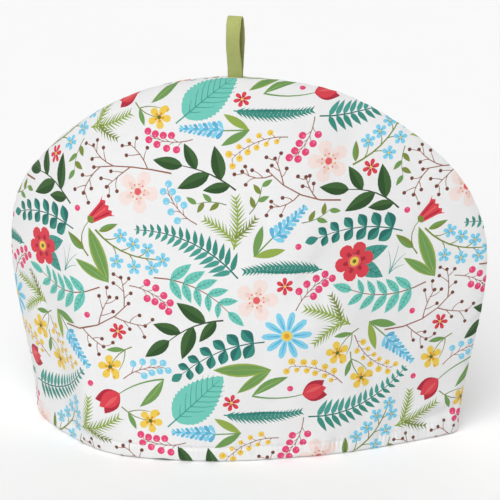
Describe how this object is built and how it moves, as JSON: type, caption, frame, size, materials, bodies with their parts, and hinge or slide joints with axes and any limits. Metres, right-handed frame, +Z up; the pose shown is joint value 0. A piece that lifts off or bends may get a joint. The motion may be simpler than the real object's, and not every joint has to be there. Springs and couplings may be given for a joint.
{
  "type": "tea cosy",
  "caption": "Dome-shaped tea cosy of printed, wadded cotton, open at the hem, with a green tape hanging loop in the top seam.",
  "frame": {"origin": "middle of the footprint, on the surface that the hem stands on", "axes": "+Z up, +X along the width in the seam plane, -Y out of the front panel"},
  "size_m": [0.3312, 0.1468, 0.2886],
  "materials": {
    "printed_cotton": "plain-woven cotton, off-white ground with a scattered leaf, flower and berry print, over thin wadding",
    "tape": "olive green cotton tape, matt"
  },
  "bodies": {
    "root": {"front_panel": "printed_cotton", "back_panel": "printed_cotton", "hanging_loop": "tape"}
  },
  "joints": []
}
